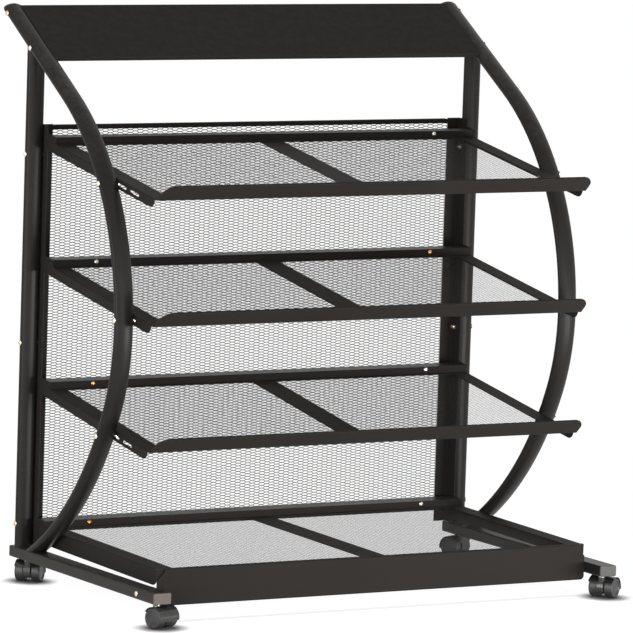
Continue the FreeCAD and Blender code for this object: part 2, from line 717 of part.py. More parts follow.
# ---- header ----
def header_seat():
    """Underside of the header plate above the middle of the bow tube."""
    aside = TUBE_WIDTH / 2 - HEADER_LAP
    return oval_rise(TUBE_WIDTH, TUBE_DEPTH, TUBE_END_RADIUS, aside) + HEADER_LIFT


def header_panel():
    """Tilted plate with hems, its ends lapped over the bows and cut round the tube."""
    middle = header_seat() + SHEET / 2
    end = HEADER_START + HEADER_WIDTH
    points = [
        (HEADER_START + SHEET / 2, middle - HEADER_HEM),
        (HEADER_START + SHEET / 2, middle),
        (end - SHEET / 2, middle),
        (end - SHEET / 2, middle - HEADER_HEM),
    ]
    reach = TUBE_INNER_X + HEADER_LAP
    panel = on_slope(cross_sheet(points, -reach, reach), HEADER_TILT, STRAIGHT_Y, STRAIGHT_Z)
    space = Part.Face(oval_wire(TUBE_WIDTH + HEADER_LIFT, TUBE_DEPTH + HEADER_LIFT,
                                TUBE_END_RADIUS + HEADER_LIFT / 2))
    space = bow_body(space)
    return largest_solid(panel.cut(space).cut(mirrored(space)))


def header_bracket():
    """Angle under the right end of the header, screwed to the bow."""
    top = header_seat() - BRACKET_SHEET / 2
    web = TUBE_INNER_X - BRACKET_SHEET / 2
    points = [(TUBE_INNER_X - BRACKET_LEG, top), (web, top), (web, top - BRACKET_DROP)]
    start = HEADER_START + HEADER_SCREW_ALONG[0] - BRACKET_MARGIN
    end = HEADER_START + HEADER_WIDTH - 2 * SHEET
    bracket = deep_sheet(points, start, end, BRACKET_SHEET, BRACKET_SHEET)
    bracket = on_slope(bracket, HEADER_TILT, STRAIGHT_Y, STRAIGHT_Z)
    for y, z in header_screw_places():
        bracket = bracket.cut(cross_hole(y, z, SCREW_R + SCREW_CLEARANCE))
    return bracket


# ---- back panel ----
def right_stile():
    """Angle along the post: a web on the post's inner face and a leg behind it."""
    rear = STILE_REAR_Y - STILE_SHEET / 2
    web = POST_INNER_X - STILE_SHEET / 2
    points = [(POST_INNER_X - STILE_LEG, rear), (web, rear), (web, STILE_REAR_Y - STILE_DEPTH)]
    face = sheet_face(points, STILE_SHEET, STILE_SHEET, lambda a, b: V(a, b, STILE_BOTTOM_Z))
    stile = face.extrude(V(0, 0, STILE_TOP_Z - STILE_BOTTOM_Z))
    for z in PANEL_SCREW_Z:
        stile = stile.cut(cross_hole(POST_Y, z, SCREW_R + SCREW_CLEARANCE))
    return stile


def back_rail(edge_z, inward):
    """Angle along the top or bottom edge of the back mesh, between the stile legs."""
    face_y = STILE_REAR_Y - STILE_SHEET / 2
    edge = edge_z - inward * STILE_SHEET / 2
    points = [(face_y, edge_z - inward * BACK_RAIL_FACE), (face_y, edge)]
    points.append((face_y + BACK_RAIL_LEG, edge))
    half = POST_INNER_X - STILE_LEG
    return cross_sheet(points, -half, half, STILE_SHEET, STILE_SHEET)


def back_mesh():
    half = POST_INNER_X - 2 * STILE_SHEET
    low = BACK_BOTTOM_Z + 2 * STILE_SHEET
    high = BACK_TOP_Z - 2 * STILE_SHEET
    sheet = turned(opened_sheet(-half, half, low, high, BACK_CELLS_HIGH), V(0, 0, 0), X_AXIS, 90)
    return moved(sheet, 0, STILE_REAR_Y + MESH_THICKNESS, 0)


# ---- screws ----
def button_screw(radius, length, head_r, head_h):
    """Round-head screw with a hexagon socket, head at -Z, seat at the origin."""
    rim = head_h * 0.25
    crown = head_h * 0.8
    edges = [
        Part.LineSegment(V(0, 0, length), V(radius, 0, length)).toShape(),
        Part.LineSegment(V(radius, 0, length), V(radius, 0, 0)).toShape(),
        Part.LineSegment(V(radius, 0, 0), V(head_r, 0, 0)).toShape(),
        Part.LineSegment(V(head_r, 0, 0), V(head_r, 0, -rim)).toShape(),
        Part.Arc(V(head_r, 0, -rim), V(head_r * 0.66, 0, -crown), V(0, 0, -head_h)).toShape(),
        Part.LineSegment(V(0, 0, -head_h), V(0, 0, length)).toShape(),
    ]
    screw = Part.Face(Part.Wire(edges)).revolve(V(0, 0, 0), Z_AXIS, 360)
    corners = []
    for index in range(7):
        angle = math.radians(60 * index)
        corners.append(V(HEX_R * math.cos(angle), HEX_R * math.sin(angle), -head_h - 1))
    socket = Part.Face(Part.makePolygon(corners)).extrude(V(0, 0, DRIVER_DEPTH + 1))
    return screw.cut(socket)


def hex_nut():
    """Nut on a through screw, its seat at the origin and its body towards +Z."""
    reach = NUT_FLATS / 2 / math.cos(math.radians(30))
    corners = []
    for index in range(7):
        angle = math.radians(60 * index)
        corners.append(V(reach * math.cos(angle), reach * math.sin(angle), 0))
    nut = Part.Face(Part.makePolygon(corners)).extrude(V(0, 0, NUT_HEIGHT))
    cone = Part.makeCone(reach, NUT_FLATS / 2 - 0.5, NUT_HEIGHT, V(0, 0, 0))
    cone = Part.makeCylinder(reach, NUT_HEIGHT / 2).fuse(cone)
    return nut.common(cone).cut(Part.makeCylinder(SCREW_R, NUT_HEIGHT))


def through_screw_places():
    """(Y, Z, X of the head's seat, X of the nut's seat) on the right side."""
    places = []
    for y, z in header_screw_places():
        places.append((y, z, TUBE_OUTER_X, TUBE_INNER_X - BRACKET_SHEET))
    for level in range(len(SHELF_NAMES)):
        y, z = shelf_bolt_place(level)
        places.append((y, z, TUBE_OUTER_X, TUBE_INNER_X - SHEET))
    for z in PANEL_SCREW_Z:
        places.append((POST_Y, z, POST_OUTER_X, STILE_WEB_X))
    y, z = rail_screw_place()
    places.append((y, z, RAIL_OUTER_X, APRON_END_X - SHEET))
    return places


def frame_screws():
    blank = button_screw(SCREW_R, SCREW_LENGTH, SCREW_HEAD_R, SCREW_HEAD_H)
    inward = turned(blank, V(0, 0, 0), V(0, 1, 0), -90)
    right = [moved(inward, head_x, y, z) for y, z, head_x, _ in through_screw_places()]
    return Part.makeCompound(right + [mirrored(screw) for screw in right])


def frame_nuts():
    inward = turned(hex_nut(), V(0, 0, 0), V(0, 1, 0), -90)
    right = [moved(inward, nut_x, y, z) for y, z, _, nut_x in through_screw_places()]
    return Part.makeCompound(right + [mirrored(nut) for nut in right])


def flange_screws(decks):
    blank = button_screw(FLANGE_SCREW_R, FLANGE_SCREW_LENGTH, FLANGE_HEAD_R, FLANGE_HEAD_H)
    backward = turned(blank, V(0, 0, 0), X_AXIS, -90)
    screws = []
    for deck in decks:
        y, z = flange_screw_place(*deck)
        for side in SIDES.values():
            screws.append(moved(backward, side * FLANGE_SCREW_X, y, z))
    return Part.makeCompound(screws)


# ---- casters ----
def stem_places_y():
    return RAIL_FRONT_Y + FRONT_STEM_INSET, RAIL_REAR_Y - REAR_STEM_INSET


def caster_stem():
    """Steel stem: pin in the hood, collar under the rail, shank up inside it."""
    pin = Part.makeCylinder(PIN_R, PIN_DEPTH, V(0, 0, RAIL_BOTTOM_Z - COLLAR_HEIGHT - PIN_DEPTH))
    collar = Part.makeCylinder(COLLAR_R, COLLAR_HEIGHT, V(0, 0, RAIL_BOTTOM_Z - COLLAR_HEIGHT))
    shank = Part.makeCylinder(STEM_R, STEM_RISE - 2, V(0, 0, RAIL_BOTTOM_Z))
    tip = Part.makeCone(STEM_R, STEM_R - 1.5, 2, V(0, 0, RAIL_BOTTOM_Z + STEM_RISE - 2))
    return fuse_all([pin, collar, shank, tip])


def caster_hood():
    """Moulded body: a core between the wheels, a fender over them and a stem boss."""
    inner_r = WHEEL_R + FENDER_GAP
    outer_r = inner_r + FENDER_WALL
    centre = V(SWIVEL_OFFSET, 0, WHEEL_R)
    start = V(SWIVEL_OFFSET + inner_r, -HOOD_HALF, WHEEL_R)
    section = [start, start + V(FENDER_WALL, 0, 0), start + V(FENDER_WALL, 2 * HOOD_HALF, 0),
               start + V(0, 2 * HOOD_HALF, 0), start]
    face = turned(Part.Face(Part.makePolygon(section)), centre, V(0, 1, 0), -FENDER_FROM)
    fender = face.revolve(centre, V(0, 1, 0), -(FENDER_TO - FENDER_FROM))
    low = WHEEL_R * 0.45
    core = Part.makeCylinder(inner_r + FENDER_WALL / 2, 2 * CORE_HALF,
                             V(SWIVEL_OFFSET, -CORE_HALF, WHEEL_R), V(0, 1, 0))
    reach = 3 * WHEEL_R
    core = core.cut(box(-reach, reach, -2 * CORE_HALF, 2 * CORE_HALF, -WHEEL_R, low))
    boss_top = RAIL_BOTTOM_Z - COLLAR_HEIGHT - SIDE_PLAY
    boss_foot = boss_top - PIN_DEPTH - 3
    boss = Part.makeCylinder(CORE_HALF, boss_top - boss_foot, V(0, 0, boss_foot))
    web = box(0, SWIVEL_OFFSET, -CORE_HALF, CORE_HALF, boss_foot, WHEEL_R + inner_r * 0.7)
    hood = fuse_all([core, web, boss, fender])
    bore_depth = PIN_DEPTH + SIDE_PLAY
    bore = Part.makeCylinder(PIN_R + RUNNING_FIT, bore_depth + 5, V(0, 0, boss_top - bore_depth))
    axle_hole = Part.makeCylinder(AXLE_R, 2 * CORE_HALF + 2,
                                  V(SWIVEL_OFFSET, -CORE_HALF - 1, WHEEL_R), V(0, 1, 0))
    return hood.cut(bore).cut(axle_hole)


def caster_axle():
    """Plain pin through the core, its ends inside the wheels."""
    half = CORE_HALF + SIDE_PLAY + AXLE_REACH
    return Part.makeCylinder(AXLE_R, 2 * half, V(SWIVEL_OFFSET, -half, WHEEL_R), V(0, 1, 0))


def caster_wheel():
    """Wheel on the +Y side: rounded tread, crowned disc in a dish and a blind bore for the axle."""
    inner = CORE_HALF + SIDE_PLAY
    outer = WHEEL_FACE
    bend = WHEEL_ROUND * (1 - math.sqrt(0.5))
    bore = AXLE_R + RUNNING_FIT
    bore_end = inner + AXLE_REACH + SIDE_PLAY
    disc = outer - DISH_DEPTH
    disc_edge = DISH_R - DISH_DEPTH
    dome = (disc_edge ** 2 + DISC_CROWN ** 2) / (2 * DISC_CROWN)
    half_way = math.asin(disc_edge / dome) / 2
    dome_centre = disc + DISC_CROWN - dome
    spots = [
        V(0, bore_end, 0), V(bore, bore_end, 0), V(bore, inner, 0), V(WHEEL_R - WHEEL_ROUND, inner, 0),
        V(WHEEL_R, inner + WHEEL_ROUND, 0), V(WHEEL_R, outer - WHEEL_ROUND, 0),
        V(WHEEL_R - WHEEL_ROUND, outer, 0), V(DISH_R, outer, 0), V(disc_edge, disc, 0),
        V(0, disc + DISC_CROWN, 0),
    ]
    bulges = {
        3: V(WHEEL_R - bend, inner + bend, 0),
        5: V(WHEEL_R - bend, outer - bend, 0),
        8: V(dome * math.sin(half_way), dome_centre + dome * math.cos(half_way), 0),
    }
    edges = []
    for index, spot in enumerate(spots):
        following = spots[(index + 1) % len(spots)]
        if index in bulges:
            edges.append(Part.Arc(spot, bulges[index], following).toShape())
        else:
            edges.append(Part.LineSegment(spot, following).toShape())
    wheel = Part.Face(Part.Wire(edges)).revolve(V(0, 0, 0), V(0, 1, 0), 360)
    return moved(wheel, SWIVEL_OFFSET, 0, WHEEL_R)


def caster_nodes(place, angle):
    """The five pieces of one caster, turned about its stem."""
    row, side = place.split("_")
    stem_y = stem_places_y()[0 if row == "front" else 1]
    wheel = caster_wheel()
    pieces = {
        "stem": caster_stem(),
        "hood": caster_hood(),
        "axle": caster_axle(),
        "wheel_a": wheel,
        "wheel_b": wheel.mirror(V(0, 0, 0), V(0, 1, 0)),
    }
    nodes = {}
    for name, shape in pieces.items():
        shape = turned(shape, V(0, 0, 0), Z_AXIS, angle)
        nodes[place + "_caster_" + name] = moved(shape, SIDES[side] * FRAME_X, stem_y, 0)
    return nodes


# ---- the whole rack ----
def shelf_nodes(name, level):
    """One shelf's nodes, set on its slope at its height."""
    depth = deck_depth(SHELF_FOLD_Y, SHELF_SLOPE)
    z = shelf_fold_z(level)
    side = deck_side(depth, SIDE_WEB, SHELF_WEB_SETBACK, True)
    side = end_at_stile(on_slope(side, SHELF_SLOPE, SHELF_FOLD_Y, z))
    side = side.cut(cross_hole(*shelf_bolt_place(level), SCREW_R + SCREW_CLEARANCE))
    flange = on_slope(rear_flange(depth, SHELF_SLOPE), SHELF_SLOPE, SHELF_FOLD_Y, z)
    flat = {"lip": shelf_lip(), "strap": deck_strap(depth), "mesh": deck_mesh(depth)}
    nodes = {name + "_shelf_sides": Part.makeCompound([side, mirrored(side)])}
    nodes[name + "_shelf_rear_flange"] = drill_flange(flange, SHELF_FOLD_Y, z, SHELF_SLOPE, depth)
    for key, shape in flat.items():
        nodes[name + "_shelf_" + key] = on_slope(shape, SHELF_SLOPE, SHELF_FOLD_Y, z)
    return nodes


def tray_nodes():
    depth = deck_depth(TRAY_FOLD_Y, TRAY_SLOPE)
    side = deck_side(depth, TRAY_WEB, TRAY_WEB_SETBACK, False)
    side = end_at_stile(on_slope(side, TRAY_SLOPE, TRAY_FOLD_Y, TRAY_FOLD_Z))
    flange = on_slope(rear_flange(depth, TRAY_SLOPE), TRAY_SLOPE, TRAY_FOLD_Y, TRAY_FOLD_Z)
    nodes = {"tray_sides": Part.makeCompound([side, mirrored(side)]), "tray_apron": tray_apron()}
    nodes["tray_rear_flange"] = drill_flange(flange, TRAY_FOLD_Y, TRAY_FOLD_Z, TRAY_SLOPE, depth)
    nodes["tray_strap"] = on_slope(deck_strap(depth), TRAY_SLOPE, TRAY_FOLD_Y, TRAY_FOLD_Z)
    nodes["tray_mesh"] = on_slope(deck_mesh(depth), TRAY_SLOPE, TRAY_FOLD_Y, TRAY_FOLD_Z)
    return nodes


def all_decks():
    """(fold Y, fold Z, slope, depth) of the tray and the shelves, from the bottom up."""
    decks = [(TRAY_FOLD_Y, TRAY_FOLD_Z, TRAY_SLOPE, deck_depth(TRAY_FOLD_Y, TRAY_SLOPE))]
    for level in range(len(SHELF_NAMES)):
        depth = deck_depth(SHELF_FOLD_Y, SHELF_SLOPE)
        decks.append((SHELF_FOLD_Y, shelf_fold_z(level), SHELF_SLOPE, depth))
    return decks


def rack_nodes():
    nodes = {}
    pairs = {"base_rail": right_rail(), "post": right_post(), "bow": right_bow(), "stile": right_stile()}
    for name, shape in pairs.items():
        nodes["left_" + name] = mirrored(shape)
        nodes["right_" + name] = shape
    plugs = [rail_plug(RAIL_FRONT_Y, -1), rail_plug(RAIL_REAR_Y, 1)]
    nodes["rail_end_plugs"] = Part.makeCompound(plugs + [mirrored(plug) for plug in plugs])
    bow_plug = right_bow_plug()
    nodes["bow_end_plugs"] = Part.makeCompound([bow_plug, mirrored(bow_plug)])
    nodes["header_panel"] = header_panel()
    bracket = header_bracket()
    nodes["header_brackets"] = Part.makeCompound([bracket, mirrored(bracket)])
    nodes["back_top_rail"] = back_rail(BACK_TOP_Z, 1)
    nodes["back_bottom_rail"] = back_rail(BACK_BOTTOM_Z, -1)
    nodes["back_mesh"] = back_mesh()
    decks = all_decks()
    nodes["rear_cross_bars"] = Part.makeCompound([cross_bar(*deck) for deck in decks])
    nodes["frame_screws"] = frame_screws()
    nodes["frame_nuts"] = frame_nuts()
    nodes["flange_screws"] = flange_screws(decks)
    for level, name in enumerate(SHELF_NAMES):
        nodes.update(shelf_nodes(name, level))
    nodes.update(tray_nodes())
    for place, angle in CASTER_ANGLES.items():
        nodes.update(caster_nodes(place, angle))
    return nodes


def centred(nodes):
    """Move the rack so that its origin is at the middle of its footprint on the floor."""
    whole = Part.makeCompound(list(nodes.values())).optimalBoundingBox(False, False)
    shift = V(-(whole.XMin + whole.XMax) / 2, -(whole.YMin + whole.YMax) / 2, -whole.ZMin)
    for shape in nodes.values():
        shape.translate(shift)
    return shift


os.makedirs("parts", exist_ok=True)
rack = rack_nodes()
shift = centred(rack)
print("moved by", round(shift.x, 3), round(shift.y, 3), round(shift.z, 3))
for name, shape in rack.items():
    shape.exportStep("parts/" + name + ".step")
print(len(rack), "nodes")
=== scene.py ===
import math

import bmesh
import bpy
from mathutils import Matrix, Vector


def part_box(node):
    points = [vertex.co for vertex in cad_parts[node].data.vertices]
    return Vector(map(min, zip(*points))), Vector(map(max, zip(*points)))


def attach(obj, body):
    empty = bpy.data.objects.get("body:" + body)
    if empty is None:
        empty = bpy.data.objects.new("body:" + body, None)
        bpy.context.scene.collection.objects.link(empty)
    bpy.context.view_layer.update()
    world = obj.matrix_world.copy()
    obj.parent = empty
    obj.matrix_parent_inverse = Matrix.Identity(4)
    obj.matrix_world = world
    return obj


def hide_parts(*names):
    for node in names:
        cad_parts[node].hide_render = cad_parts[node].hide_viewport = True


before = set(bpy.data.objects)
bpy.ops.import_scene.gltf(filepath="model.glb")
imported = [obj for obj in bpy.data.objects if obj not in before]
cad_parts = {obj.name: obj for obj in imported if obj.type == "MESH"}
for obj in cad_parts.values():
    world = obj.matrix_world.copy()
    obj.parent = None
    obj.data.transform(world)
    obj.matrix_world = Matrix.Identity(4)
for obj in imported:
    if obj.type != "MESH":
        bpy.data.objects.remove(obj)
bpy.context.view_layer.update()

# Periodical display rack: powder-coated tube frame, expanded-mesh shelves and back,
# plated screws and twin-wheel casters. Lengths are in metres.

MM = 0.001

# ---- sizes the mesh shares with the rack ----
SHELF_SLOPE = math.radians(8.9)
TRAY_SLOPE = math.radians(1.0)
SHEET_SPACE = 1.0 * MM          # thickness the mesh sheets lie within

# ---- expanded mesh ----
# long_way and short_way are the pitch of the openings, bond the length and depth of a
# bond, and strand the way that a tip stands back from the bond beside it.
DECK_PATTERN = {"long_way": 16.7 * MM, "short_way": 4.6 * MM,
                "bond": (1.6 * MM, 0.9 * MM), "strand": 0.2 * MM}
BACK_PATTERN = {"long_way": 20.3 * MM, "short_way": 5.1 * MM,
                "bond": (6.0 * MM, 1.42 * MM), "strand": 0.75 * MM}
DECK_STRAND_THICKNESS = 0.25 * MM
BACK_STRAND_THICKNESS = 0.4 * MM
LIFT = 0.12 * MM                # how far the press sets each bond out of the sheet

# ---- camera, taken from the middle between the posts ----
CAMERA_FROM_POSTS = Vector((-5.1009, -9.0740, 1.7030))
CAMERA_AZIMUTH = math.radians(-30.0)
CAMERA_ELEVATION = math.radians(6.77)
CAMERA_ROLL = math.radians(1.87)
SENSOR = 36.0                   # millimetres, as the focal length is
FOCAL = 326.5
CLIP_START = 0.5
CLIP_END = 100.0

# ---- light ----
WORLD_FILL = 0.24               # what the world gives matt surfaces
BACKGROUND = 1.0                # what the world shows, where 1 is white

# ---- floor ----
FLOOR_WHITE = 0.9               # its true colour, for the light it throws back
FLOOR_SEEN = 0.30               # share of the light on it that shows
FLOOR_LIFT = 0.935              # added to it where it shows
FLOOR_ROUGHNESS = 0.9
FLOOR_SHINE = 0.1
FLOOR_REACH = 30.0
FLOOR_BELOW = 0.2 * MM          # keeps it just clear of the wheels
CONTACT_REACH = 30 * MM         # how far off the floor a piece still darkens it
CONTACT_DEPTH = 5.0             # power that deepens the contact shadow
CONTACT_SAMPLES = 16

SKIN = {}


def srgb(red, green, blue):
    """Colour as written on a swatch, 0 to 255, as a linear colour."""
    def channel(value):
        share = value / 255
        return share / 12.92 if share <= 0.04045 else ((share + 0.055) / 1.055) ** 2.4
    return (channel(red), channel(green), channel(blue), 1.0)


# ---- shader node groups ----
class Group:
    """A shader node group with named sockets, and short calls to fill it."""

    def __init__(self, name, inputs, outputs):
        self.tree = bpy.data.node_groups.new(name, "ShaderNodeTree")
        kinds = {"value": "NodeSocketFloat", "colour": "NodeSocketColor"}
        for label, kind, start in inputs:
            socket = self.tree.interface.new_socket(label, in_out="INPUT", socket_type=kinds[kind])
            socket.default_value = start
        for label, kind in outputs:
            self.tree.interface.new_socket(label, in_out="OUTPUT", socket_type=kinds[kind])
        self.given = self.tree.nodes.new("NodeGroupInput").outputs
        self.result = self.tree.nodes.new("NodeGroupOutput").inputs

    def node(self, kind, **settings):
        made = self.tree.nodes.new(kind)
        for key, value in settings.items():
            setattr(made, key, value)
        return made

    def link(self, source, target):
        self.tree.links.new(source, target)

    def put(self, target, value):
        if isinstance(value, bpy.types.NodeSocket):
            self.link(value, target)
        else:
            target.default_value = value

    def math(self, operation, first, second=0.0, clamp=False):
        made = self.node("ShaderNodeMath", operation=operation, use_clamp=clamp)
        self.put(made.inputs[0], first)
        self.put(made.inputs[1], second)
        return made.outputs[0]

    def mix(self, share, first, second):
        made = self.node("ShaderNodeMix", data_type="RGBA")
        self.put(made.inputs["Factor"], share)
        self.put(made.inputs["A"], first)
        self.put(made.inputs["B"], second)
        return made.outputs["Result"]

    def noise(self, where, scale, detail=2.0, rough=0.5):
        made = self.node("ShaderNodeTexNoise")
        self.link(where, made.inputs["Vector"])
        self.put(made.inputs["Scale"], scale)
        made.inputs["Detail"].default_value = detail
        made.inputs["Roughness"].default_value = rough
        return made.outputs["Fac"]

    def spread(self, value, low, high, out_low=0.0, out_high=1.0):
        made = self.node("ShaderNodeMapRange")
        for socket, entry in zip(made.inputs, (value, low, high, out_low, out_high)):
            self.put(socket, entry)
        return made.outputs["Result"]


def place_of(group):
    """Where a point lies on its own piece."""
    return group.node("ShaderNodeTexCoord").outputs["Object"]


def powder_group():
    """Cured powder: orange peel, fine specks, slow drift of tone and gloss, and dust
    that settles on what faces up."""
    group = Group(
        "powder coat skin",
        [("Coat", "colour", srgb(44, 41, 39)), ("Thin Coat", "colour", srgb(66, 61, 57)),
         ("Peel Scale", "value", 900.0), ("Gloss", "value", 0.4), ("Dust", "value", 0.15)],
        [("Colour", "colour"), ("Roughness", "value"), ("Height", "value")])
    where = place_of(group)
    fine_scale = group.math("MULTIPLY", group.given["Peel Scale"], 3.4)
    peel = group.noise(where, group.given["Peel Scale"], detail=3.0, rough=0.55)
    fine = group.noise(where, fine_scale, detail=2.0, rough=0.6)
    drift = group.noise(where, 7.0, detail=4.0, rough=0.6)
    specks = group.spread(fine, 0.62, 0.72)
    thin = group.spread(drift, 0.35, 0.7, out_high=0.15)
    tone = group.mix(thin, group.given["Coat"], group.given["Thin Coat"])
    tone = group.mix(group.math("MULTIPLY", specks, 0.25), tone, group.given["Thin Coat"])
    up = group.node("ShaderNodeSeparateXYZ")
    group.link(group.node("ShaderNodeNewGeometry").outputs["Normal"], up.inputs[0])
    patches = group.spread(group.noise(where, 60.0, detail=5.0, rough=0.65), 0.4, 0.7)
    settled = group.math("MULTIPLY", group.spread(up.outputs["Z"], 0.5, 1.0), group.given["Dust"])
    settled = group.math("MULTIPLY", settled, patches)
    tone = group.mix(settled, tone, srgb(150, 145, 138))
    group.link(tone, group.result["Colour"])
    change = group.spread(drift, 0.3, 0.7, out_low=-0.015, out_high=0.02)
    rough = group.math("ADD", group.given["Gloss"], change)
    rough = group.math("ADD", rough, group.math("MULTIPLY", settled, 0.5))
    group.link(rough, group.result["Roughness"])
    group.link(group.math("ADD", peel, group.math("MULTIPLY", fine, 0.35)), group.result["Height"])
    return group.tree


def edge_group():
    """Mask of the outer edges, where handling and folding thin the finish; on the caster mouldings the
    same mask carries a painted rim highlight.
    """
    group = Group(
        "worn edges and painted rim highlight",
        [("Width", "value", 0.0012), ("Breakup Scale", "value", 140.0)],
        [("Mask", "value")])
    soft = group.node("ShaderNodeBevel", samples=4)
    group.link(group.given["Width"], soft.inputs["Radius"])
    true = group.node("ShaderNodeNewGeometry")
    agree = group.node("ShaderNodeVectorMath", operation="DOT_PRODUCT")
    group.link(soft.outputs["Normal"], agree.inputs[0])
    group.link(true.outputs["Normal"], agree.inputs[1])
    edge = group.spread(agree.outputs["Value"], 0.97, 0.82)
    breakup = group.noise(place_of(group), group.given["Breakup Scale"], detail=4.0, rough=0.6)
    broken = group.spread(breakup, 0.38, 0.62)
    group.link(group.math("MULTIPLY", edge, broken, clamp=True), group.result["Mask"])
    return group.tree


def plated_group():
    """Plated steel: fine marks, a slight bloom, and a yellower plate on some pieces."""
    group = Group(
        "plated metal",
        [("Plate", "colour", srgb(238, 234, 224)), ("Bloom", "colour", srgb(214, 198, 166)),
         ("Passivated", "colour", srgb(222, 168, 104)), ("Mark Scale", "value", 900.0)],
        [("Colour", "colour"), ("Roughness", "value"), ("Height", "value")])
    where = place_of(group)
    marks = group.noise(where, group.given["Mark Scale"], detail=2.0, rough=0.6)
    bloom = group.noise(where, 220.0, detail=4.0, rough=0.6)
    batch = group.noise(where, 9.0, detail=1.0, rough=0.5)
    tone = group.mix(group.spread(bloom, 0.4, 0.7), group.given["Plate"], group.given["Bloom"])
    tone = group.mix(group.spread(batch, 0.52, 0.64), tone, group.given["Passivated"])
    group.link(tone, group.result["Colour"])
    rough = group.spread(marks, 0.3, 0.7, out_low=0.2, out_high=0.34)
    group.link(rough, group.result["Roughness"])
    group.link(marks, group.result["Height"])
    return group.tree


def moulded_group():
    """Moulded plastic: spark-eroded grain, flow tone and scuffs. A second, darker tone on the
    mouldings on the right side is painted shade; the fourth input sets how much of it shows."""
    group = Group(
        "moulded plastic",
        [("Plastic", "colour", srgb(50, 49, 48)), ("Scuff", "colour", srgb(96, 94, 90)),
         ("Painted Shade Tone", "colour", srgb(50, 49, 48)), ("Painted Shade Share", "value", 0.0),
         ("Grain Scale", "value", 1500.0), ("Gloss", "value", 0.4), ("Scuffs", "value", 0.3)],
        [("Colour", "colour"), ("Roughness", "value"), ("Height", "value")])
    where = place_of(group)
    grain = group.noise(where, group.given["Grain Scale"], detail=3.0, rough=0.6)
    flow = group.noise(where, 45.0, detail=3.0, rough=0.5)
    scratch = group.noise(where, 320.0, detail=6.0, rough=0.75)
    rub = group.math("MULTIPLY", group.spread(scratch, 0.56, 0.66), group.given["Scuffs"])
    side = group.node("ShaderNodeSeparateXYZ")
    group.link(where, side.inputs[0])
    # mask of the rack's right side, where the painted shade tone is laid on
    right = group.spread(side.outputs["X"], -0.1, 0.1)
    painted_shade = group.math("MULTIPLY", right, group.given["Painted Shade Share"])
    tone = group.mix(painted_shade, group.given["Plastic"], group.given["Painted Shade Tone"])
    tone = group.mix(group.spread(flow, 0.3, 0.75, out_high=0.22), tone, group.given["Scuff"])
    group.link(group.mix(rub, tone, group.given["Scuff"]), group.result["Colour"])
    rough = group.math("ADD", group.given["Gloss"], group.math("MULTIPLY", rub, 0.25))
    change = group.spread(grain, 0.3, 0.7, out_low=-0.03, out_high=0.05)
    group.link(group.math("ADD", rough, change), group.result["Roughness"])
    group.link(grain, group.result["Height"])
    return group.tree


# ---- materials ----
def finish_material(name, skin, values, bump, metallic=0.0, edge=None, shine=0.5):
    """A material whose colour, roughness and fine relief come from one skin group.
    edge, where given, lightens the outer edges: rubbed wear on the powder coat, a painted rim highlight
    on the caster mouldings."""
    made = bpy.data.materials.new(name)
    made.use_nodes = True
    nodes, links = made.node_tree.nodes, made.node_tree.links
    shader = nodes["Principled BSDF"]
    shader.inputs["Metallic"].default_value = metallic
    shader.inputs["Specular IOR Level"].default_value = shine
    layer = nodes.new("ShaderNodeGroup")
    layer.node_tree = skin
    for label, value in values.items():
        layer.inputs[label].default_value = value
    colour = layer.outputs["Colour"]
    if edge:
        # lighter outer edges: wear on the powder coat, painted rim highlight on the caster hoods and
        # wheels
        edge_wear_and_highlight = nodes.new("ShaderNodeGroup")
        edge_wear_and_highlight.node_tree = SKIN["edges"]
        edge_wear_and_highlight.inputs["Width"].default_value = edge["width"]
        blend = nodes.new("ShaderNodeMix")
        blend.data_type = "RGBA"
        strength = nodes.new("ShaderNodeMath")
        strength.operation = "MULTIPLY"
        strength.inputs[1].default_value = edge["share"]
        links.new(edge_wear_and_highlight.outputs["Mask"], strength.inputs[0])
        links.new(strength.outputs[0], blend.inputs["Factor"])
        links.new(colour, blend.inputs["A"])
        blend.inputs["B"].default_value = edge["colour"]
        colour = blend.outputs["Result"]
    links.new(colour, shader.inputs["Base Color"])
    links.new(layer.outputs["Roughness"], shader.inputs["Roughness"])
    relief = nodes.new("ShaderNodeBump")
    relief.inputs["Strength"].default_value = bump["strength"]
    relief.inputs["Distance"].default_value = bump["depth"]
    links.new(layer.outputs["Height"], relief.inputs["Height"])
    links.new(relief.outputs["Normal"], shader.inputs["Normal"])
    return made


